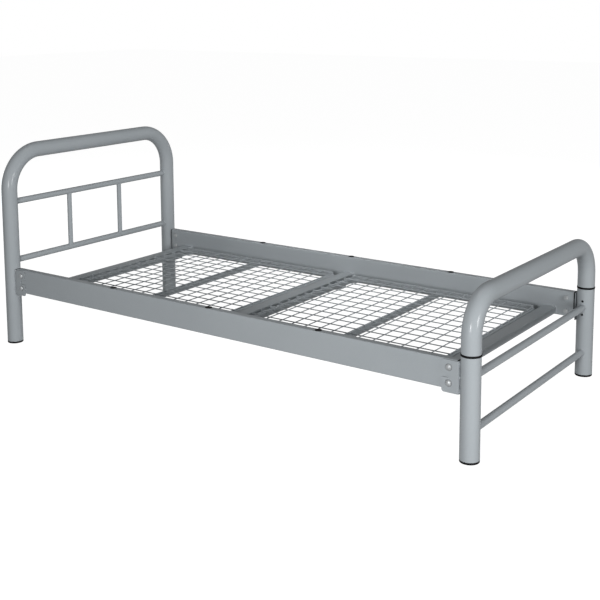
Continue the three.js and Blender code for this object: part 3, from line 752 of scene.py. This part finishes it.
def bracket_blank(reach, height, slot_z, bolts):
    """The plate's flat part as points (u, z) and triangles: two ears, a bolt hole in each, and the slot."""
    ear, half, mouth = EAR_CORNER, SLOT_HEIGHT / 2, SLOT_MOUTH
    outline = np.concatenate([
        [(0.0, 0.0), (0.0, height)],
        arc((ear - reach, height - ear), ear, 90, 180, 8),
        arc((mouth - reach, slot_z + half + mouth), mouth, 180, 270, 5),
        arc((SLOT_DEPTH - half - reach, slot_z), half, 90, -90, 14),
        arc((mouth - reach, slot_z - half - mouth), mouth, 90, 180, 5),
        arc((ear - reach, ear), ear, 180, 270, 8),
    ])
    loops = [outline] + [arc(bolt, BOLT_HOLE_RADIUS, 0, 345, 23) for bolt in bolts]
    shape = bmesh.new()
    edges = []
    for loop in loops:
        corners = [shape.verts.new((u, z, 0)) for u, z in loop]
        edges += [shape.edges.new(pair) for pair in zip(corners, corners[1:] + corners[:1])]
    bmesh.ops.triangle_fill(shape, edges=edges, use_beauty=True)
    shape.verts.index_update()
    points = np.array([vertex.co[:2] for vertex in shape.verts])
    faces = [[vertex.index for vertex in face.verts] for face in shape.faces]
    shape.free()
    return points, faces


def nugget(centre, size, sides=10):
    """A flattened drop of weld metal: an ellipsoid of the given half sizes."""
    a = np.linspace(0, 2 * math.pi, sides, endpoint=False)[None, :]
    b = np.linspace(-math.pi / 2, math.pi / 2, 7)[:, None]
    ball = np.stack([np.cos(a) * np.cos(b), np.sin(a) * np.cos(b), np.sin(b) + 0 * a], -1)
    return centre + ball * np.array(size), False


# The brackets' coat, with shade painted dark on the cut edges beside the rail and in a ring round each bolt.
bracket_painted_shade_coat = silver_powder_coat("bracket_powder_coat_painted_shade", painted_crevice_shade)
for end, direction in ENDS:
    for side, sign in SIDES:
        node = f"bracket_{end}_{side}"
        low, high = ends_of(node)
        outer = np.array([high[0] if direction > 0 else low[0], high[1] if sign > 0 else low[1], low[2]])
        reach, depth, height = high - low
        bolts = [(FOLD + BOLT_INSET - reach, z - low[2]) for _, z in BOLTS[:2]]
        slot_z = np.mean([z for _, z in bolts])
        blank, triangles = bracket_blank(reach - FOLD, height, slot_z, bolts)
        plate = np.stack([blank[:, 0] - FOLD, np.zeros(len(blank)), blank[:, 1]], -1)
        a = np.linspace(0, math.pi / 2, 9)
        fold = FOLD * np.stack([np.sin(a) - 1, np.cos(a) - 1], -1)
        strip = np.concatenate([fold, [(0.0, -depth)]])
        leg = np.concatenate([np.insert(strip, 2, level, axis=1) for level in (0.0, height)])
        quads = grid_faces(2, len(strip), False, False) + len(plate)
        points = np.concatenate([plate, leg]) * np.array([direction, sign, 1]) + outer
        made = mesh_piece(
            f"bracket_plate_{end}_{side}", points, triangles + quads.tolist(), bracket_painted_shade_coat,
            "frame", [node], CREASE, Vector(sign * Y),
        )
        walled(made, PLATE, 0.5 * MM)
        seam = np.array([outer[0] + direction * MM, sign * (POST_Y + STITCH_OUT), low[2]])
        stitches = [nugget(seam + Z * up, STITCH_SIZE, 14) for up in STITCH_HEIGHTS]
        piece(f"bracket_welds_{end}_{side}", stitches, silver)

# ---------------------------------------------------------------- bolts and nuts
# M8 cup-head bolts pass through bracket and rail from outside, and are drawn up by hexagon nuts on
# the rail's inner face. Both are zinc plated.

BOLT_SHANK = 4 * MM
PITCH = 1.25 * MM
THREAD_LENGTH = 20 * MM
THREAD_DEPTH = 0.6 * MM
HEAD_RADIUS = 10 * MM
HEAD_RISE = 5 * MM
HEAD_SKIRT = 0.7 * MM
NUT_FLATS = 17 * MM
NUT_FACE = 0.96
NUT_CHAMFER = 0.6 * MM


def bolt_profile(length):
    """The domed head above its seat at 0, then the shank with a rolled thread over its last part.

    The dome is part of a ball of radius (head^2 + rise^2) / (2 rise).
    """
    rise = HEAD_RISE - HEAD_SKIRT
    ball = (HEAD_RADIUS**2 + rise**2) / (2 * rise)
    a = np.linspace(math.asin(HEAD_RADIUS / ball), 0, 10)
    dome = np.stack([ball * np.sin(a), HEAD_RISE - ball + ball * np.cos(a)], -1)
    crests = np.arange(-length + PITCH, -length + THREAD_LENGTH, PITCH)[::-1]
    thread = np.stack([
        np.tile([BOLT_SHANK, BOLT_SHANK - THREAD_DEPTH], len(crests)),
        np.stack([crests, crests - PITCH / 2], -1).ravel(),
    ], -1)
    tip = [(BOLT_SHANK - MM, -length), (0, -length)]
    return np.concatenate([dome[::-1], [(HEAD_RADIUS, 0), (BOLT_SHANK, 0)], thread, tip])


def hexagon(flats, height, bore, origin, axis, sides=72):
    """A nut: r = half the flats / cos(angle from the nearest flat), its corners cut by a 30 degree cone."""
    u = X
    v = np.cross(axis, u)
    a = np.linspace(0, 2 * math.pi, sides, endpoint=False)
    from_flat = (a + math.pi / 6) % (math.pi / 3) - math.pi / 6
    side = flats / 2 / np.cos(from_flat)
    round_face = np.full(sides, flats / 2 * NUT_FACE)
    drop = (side - round_face) * math.tan(math.radians(30))
    lip = np.full(sides, bore + NUT_CHAMFER)
    hole = np.full(sides, bore)
    level = np.zeros(sides)
    rows = [
        (hole, level + NUT_CHAMFER), (lip, level), (round_face, level), (side, drop), (side, height - drop),
        (round_face, level + height), (lip, level + height), (hole, level + height - NUT_CHAMFER),
    ]
    radius, rise = (np.array(values)[..., None] for values in zip(*rows))
    around = u * np.cos(a)[:, None] + v * np.sin(a)[:, None]
    return origin + axis * rise + radius * around, True


for end, _ in ENDS:
    for side, sign in SIDES:
        for level in ("lower", "upper"):
            place = f"{end}_{side}_{level}"
            low, high = ends_of(f"bolt_{place}")
            x, z = middle_of(f"bolt_{place}")[[0, 2]]
            crown = high[1] if sign > 0 else low[1]
            seat = np.array([x, crown - sign * HEAD_RISE, z])
            length = (high[1] - low[1]) - HEAD_RISE
            bolt = turned(bolt_profile(length), seat, sign * Y, 40)
            piece(f"cup_bolt_{place}", [(bolt, False)], zinc, "frame", [f"bolt_{place}"], 30)
            low, high = ends_of(f"nut_{place}")
            face = np.array([x, low[1] if sign > 0 else high[1], z])
            nut = hexagon(NUT_FLATS, high[1] - low[1], BOLT_SHANK + GAP, face, sign * Y)
            piece(f"hex_nut_{place}", [nut], zinc, "frame", [f"nut_{place}"], 25)

# ---------------------------------------------------------------- cross-members
# Three flat rectangular tubes tie the rails together and are welded to them. Small plates welded
# underneath reach out to carry the panels.

CROSS_MEMBERS = {"head": (1,), "middle": (-1, 1), "foot": (-1,)}
CROSS_WIDTH = 50 * MM
CROSS_CORNER = 2.2 * MM
CROSS_BORE_CORNER = 0.5 * MM
CROSS_WALL = 2 * MM
BEAD_POINTS = 160
LUG = 3 * MM
LUG_CORNER = 4 * MM
LUG_EASE = 0.4 * MM
LUG_REACH = 32 * MM
LUG_WIDTH = 60 * MM
LUG_Y = 310 * MM


def box_tube(start, length, width, height, corner, wall):
    """A rectangular tube along Y, out along its outer wall and back along its bore."""
    outer = rounded_rectangle(width, height, corner)
    bore = rounded_rectangle(width - 2 * wall, height - 2 * wall, CROSS_BORE_CORNER)

    def loop(outline, y):
        return start + np.stack([outline[:, 0], np.full(len(outline), y), outline[:, 1]], -1)

    return np.stack([loop(outer, 0), loop(outer, length), loop(bore, length), loop(bore, 0)]), True


def plate_rings(centre, size, corner, thickness):
    """A flat plate with round corners and eased edges: rounded rectangles, one above the other."""
    made = []
    for rise, inset in ((0, LUG_EASE), (LUG_EASE, 0), (thickness - LUG_EASE, 0), (thickness, LUG_EASE)):
        loop = rounded_rectangle(size[0] - 2 * inset, size[1] - 2 * inset, corner - inset)
        made.append(centre + np.stack([loop[:, 0], loop[:, 1], np.full(len(loop), rise)], -1))
    return shut(made)


def loop_bead(outline, size, out, ripples=40):
    """A weld bead along a closed outline of points, size (1 + 0.15 cos(ripples x 2 pi x share run)) thick."""
    count = len(outline)
    middle = outline.mean(0)
    radial = outline - middle
    radial = radial - np.outer(radial @ out, out)
    radial /= np.linalg.norm(radial, axis=1)[:, None]
    b = np.linspace(0, 2 * math.pi, 8, endpoint=False)[None, :, None]
    phase = np.arange(count)[:, None, None] * 2 * math.pi * ripples / count
    rope = size * (1 + 0.15 * np.cos(phase))
    return outline[:, None] + rope * (radial[:, None] * np.cos(b) + out * np.sin(b)), True


def spread_round(outline, count):
    """The outline's points, spaced evenly along it."""
    girth = round_about(outline)
    closed = np.concatenate([outline, outline[:1]])
    at = np.linspace(0, girth[-1], count, endpoint=False)
    return np.stack([np.interp(at, girth, closed[:, i]) for i in range(closed.shape[1])], -1)


INNER_Y = RAIL_LOW[1]
for place, lug_sides in CROSS_MEMBERS.items():
    node = f"cross_member_{place}"
    low, high = ends_of(node)
    ends = {"head": low[0] + CROSS_WIDTH / 2, "foot": high[0] - CROSS_WIDTH / 2}
    x = ends.get(place, (low[0] + high[0]) / 2)
    base = low[2] + LUG
    height = high[2] - base
    start = np.array([x, low[1], base + height / 2])
    parts = [box_tube(start, high[1] - low[1], CROSS_WIDTH, height, CROSS_CORNER, CROSS_WALL)]
    for reach in lug_sides:
        for sign in (-1, 1):
            length = LUG_REACH + CROSS_WIDTH / 2
            at = np.array([x + reach * (CROSS_WIDTH / 2 + LUG_REACH - length / 2), sign * LUG_Y, low[2]])
            parts.append(plate_rings(at, (length, LUG_WIDTH), LUG_CORNER, LUG))
    piece(f"{node}_tube", parts, silver, "frame", [node], 30)
    section = spread_round(rounded_rectangle(CROSS_WIDTH, height, CROSS_CORNER), BEAD_POINTS)
    for side, sign in SIDES:
        loop = np.array([x, sign * INNER_Y, base + height / 2])
        loop = loop + np.stack([section[:, 0], np.zeros(len(section)), section[:, 1]], -1)
        piece(f"{node}_weld_{side}", [loop_bead(loop, BEAD, Y)], silver)

# ---------------------------------------------------------------- base panels
# Each panel is a bent perimeter of 25 mm tube with a tube across its middle. A mesh of 4 mm drawn wire
# lies on it: the wires across the bed are spot welded to the tubes, and the wires along it to those.

PANEL_BEND = 34 * MM
PANEL_SIDES = 28
PANEL_WALL = 1.2 * MM
PANEL_BEAD = 0.8 * BEAD
WIRE_RADIUS = 2 * MM
WIRE_EASE = 0.5 * MM
WIRE_SIDES = 10
WIRE_OVERHANG = 6 * MM
WIRE_STEPS = np.arange(-7, 8)
LONG_PITCH = 56.2 * MM
CROSS_PITCH = 56.1 * MM
MESH_SHIFT = 7 * MM
LONG_WELD = (4.5 * MM, 3.2 * MM, 2.8 * MM)
LONG_WELD_RISE = 1.6 * MM
CROSS_WELD = (3.4 * MM, 4.5 * MM, 1.6 * MM)
CROSS_WELD_RISE = 0.4 * MM


def wire(start, end):
    """A straight wire with sheared ends, slightly eased."""
    length = np.linalg.norm(end - start)
    tip = [(0, 0), (WIRE_RADIUS - WIRE_EASE, 0), (WIRE_RADIUS, WIRE_EASE)]
    profile = tip + [(r, length - along) for r, along in tip[::-1]]
    return turned(profile, start, unit(end - start), WIRE_SIDES), False


def wire_reach(offset, half_along, half_across):
    """From the panel's middle to its perimeter's centre line along a wire, less where it meets the bend."""
    into = np.maximum(0, np.abs(offset) - (half_across - PANEL_BEND))
    return half_along - PANEL_BEND + np.sqrt(PANEL_BEND**2 - into**2)


for end, _ in ENDS:
    body = f"{end}_panel"
    low, high = ends_of(f"{end}_panel_frame")
    radius = (high[2] - low[2]) / 2
    centre = (low + high) / 2
    half_x, half_y = (high - low)[:2] / 2 - radius
    turns = ((1, -1), (1, 1), (-1, 1), (-1, -1))
    corners = [centre + np.array([along * half_x, across * half_y, 0]) for along, across in turns]
    ring = rings(*bent_path(corners, PANEL_BEND, 12, True), Z, radius, PANEL_SIDES)
    piece(f"{end}_panel_perimeter", [(ring, True)], silver, body, [f"{end}_panel_frame"])
    near, far = centre - Y * half_y, centre + Y * half_y
    tube = coped_tube(near, far, Z, radius, PANEL_WALL, radius + GAP, PANEL_SIDES)
    piece(f"{end}_panel_tube", [tube], silver, body, [f"{end}_panel_middle_tube"])
    joints = ((near, Y), (far, -Y))
    beads = [saddle_bead(start, ahead, Z, radius, radius, PANEL_BEAD, 56, 14) for start, ahead in joints]
    piece(f"{end}_panel_tube_welds", beads, silver, body)

    mesh_low, mesh_high = ends_of(f"{end}_panel_wire_mesh")
    cross_z, long_z = mesh_low[2] + WIRE_RADIUS, mesh_high[2] - WIRE_RADIUS
    rows = WIRE_STEPS * LONG_PITCH
    columns = WIRE_STEPS * CROSS_PITCH + MESH_SHIFT
    wires, nuggets = [], []
    for y, reach in zip(rows, wire_reach(rows, half_x, half_y)):
        for sign in (-1, 1):
            at = centre + np.array([sign * reach, y, radius + LONG_WELD_RISE])
            nuggets.append(nugget(at, LONG_WELD))
        reach += WIRE_OVERHANG
        at = np.array([centre[0], centre[1] + y, long_z])
        wires.append(wire(at - X * reach, at + X * reach))
    for x, reach in zip(columns, wire_reach(columns, half_y, half_x)):
        for sign in (-1, 1):
            at = centre + np.array([x, sign * reach, radius + CROSS_WELD_RISE])
            nuggets.append(nugget(at, CROSS_WELD))
        reach += WIRE_OVERHANG
        at = np.array([centre[0] + x, centre[1], cross_z])
        wires.append(wire(at - Y * reach, at + Y * reach))
    piece(f"{end}_panel_wires", wires, silver, body, [f"{end}_panel_wire_mesh"], 40)
    piece(f"{end}_panel_spot_welds", nuggets, silver, body)

# ---------------------------------------------------------------- studio
# A white floor under an even grey sky, which the camera sees as white. Three softboxes light the bed
# from the front, the foot and above, and four cards, which don't show in gloss, fill what they leave dark.

FLOOR_HALF = 20.0
FLOOR_PAINT = (0.2, 0.2, 0.2, 1)
FLOOR_SEEN = 0.975
SKY_LIGHT = 0.05
GLOSS_SHARE = 0.3
WHITE = (1, 1, 1, 1)


def studio_floor():
    """White paint that a camera sees as bright as the background, with the bed's soft shadow."""
    floor = Finish("white_floor", None)
    seen = floor.node("ShaderNodeLightPath", output="Is Camera Ray")
    mirrored = floor.node("ShaderNodeLightPath", output="Is Glossy Ray")
    strength = seen * FLOOR_SEEN + mirrored * GLOSS_SHARE
    paint = floor.node("ShaderNodeBsdfDiffuse", None, {"Color": FLOOR_PAINT}, "BSDF")
    glow = floor.node("ShaderNodeEmission", None, {"Color": WHITE, "Strength": strength}, "Emission")
    both = floor.node("ShaderNodeAddShader", None, {0: paint, 1: glow})
    floor.feed(floor.tree.nodes["Material Output"].inputs["Surface"], both)
    return floor


floor_mesh = bpy.data.meshes.new("studio_floor")
floor_corners = [(x * FLOOR_HALF, y * FLOOR_HALF, 0) for x, y in ((-1, -1), (1, -1), (1, 1), (-1, 1))]
floor_mesh.from_pydata(floor_corners, [], [(0, 1, 2, 3)])
floor_mesh.materials.append(studio_floor().material)
floor = bpy.data.objects.new("studio_floor", floor_mesh)
bpy.context.scene.collection.objects.link(floor)

world = bpy.data.worlds.new("studio_sky")
bpy.context.scene.world = world
world.use_nodes = True
sky = Nodes(world.node_tree)
seen = sky.node("ShaderNodeLightPath", output="Is Camera Ray")
mirrored = sky.node("ShaderNodeLightPath", output="Is Glossy Ray")
background = sky.tree.nodes["Background"]
sky.feed(background.inputs["Color"], WHITE)
shown = seen + mirrored * GLOSS_SHARE
sky.feed(background.inputs["Strength"], sky.ramp(shown, 0.0, 1.0, SKY_LIGHT, 1.0))


def lamp(name, place, target, width, height, power, mirrored=True, spread=180):
    """A rectangular lamp aimed at a target, seen in gloss if mirrored, its beam `spread` degrees wide."""
    light = bpy.data.lights.new(name, "AREA")
    light.shape = "RECTANGLE"
    light.size = width
    light.size_y = height
    light.energy = power
    light.spread = math.radians(spread)
    made = bpy.data.objects.new(name, light)
    made.visible_glossy = mirrored
    made.location = place
    made.rotation_euler = (Vector(target) - Vector(place)).to_track_quat("-Z", "Y").to_euler()
    bpy.context.scene.collection.objects.link(made)


lamp("front_softbox", (1.56, -4.26, 1.15), (0.0, 0.0, 0.40), 1.1, 1.1, 109)
lamp("foot_softbox", (6.25, -1.33, 1.40), (0.0, 0.0, 0.40), 1.5, 1.5, 178)
lamp("low_card", (2.65, -3.65, 0.22), (0.0, 0.0, 0.10), 2.4, 0.35, 34, False)
lamp("top_softbox", (0.0, 0.3, 4.20), (0.0, 0.0, 0.35), 2.2, 1.6, 21)
lamp("bed_card", (-0.10, -0.42, 2.10), (-0.10, 0.45, 0.25), 1.0, 0.25, 1.3, False, 50)
lamp("head_card", (-5.20, 0.75, 0.85), (0.0, 0.0, 0.40), 1.6, 1.0, 70, False)
lamp("far_card", (0.95, 5.20, 0.85), (0.0, 0.0, 0.40), 1.6, 1.0, 75, False)

CAMERA_PLACE = (2.431, -3.316, 1.387)
CAMERA_TURN, CAMERA_DIP, CAMERA_ROLL = 35.39, 8, -0.27
CAMERA_DROP = -0.245
LENS_FRAMES = 1.8092
camera_data = bpy.data.cameras.new("camera")
camera_data.sensor_width = 36.0
camera_data.lens = camera_data.sensor_width * LENS_FRAMES
camera_data.shift_y = CAMERA_DROP
camera = bpy.data.objects.new("camera", camera_data)
turn = Matrix.Rotation(math.radians(CAMERA_TURN), 4, "Z")
tilt = Matrix.Rotation(math.radians(90 - CAMERA_DIP), 4, "X")
roll = Matrix.Rotation(math.radians(CAMERA_ROLL), 4, "Z")
camera.matrix_world = Matrix.Translation(CAMERA_PLACE) @ turn @ tilt @ roll
bpy.context.scene.collection.objects.link(camera)
bpy.context.scene.camera = camera
bpy.context.scene.view_settings.view_transform = "Standard"
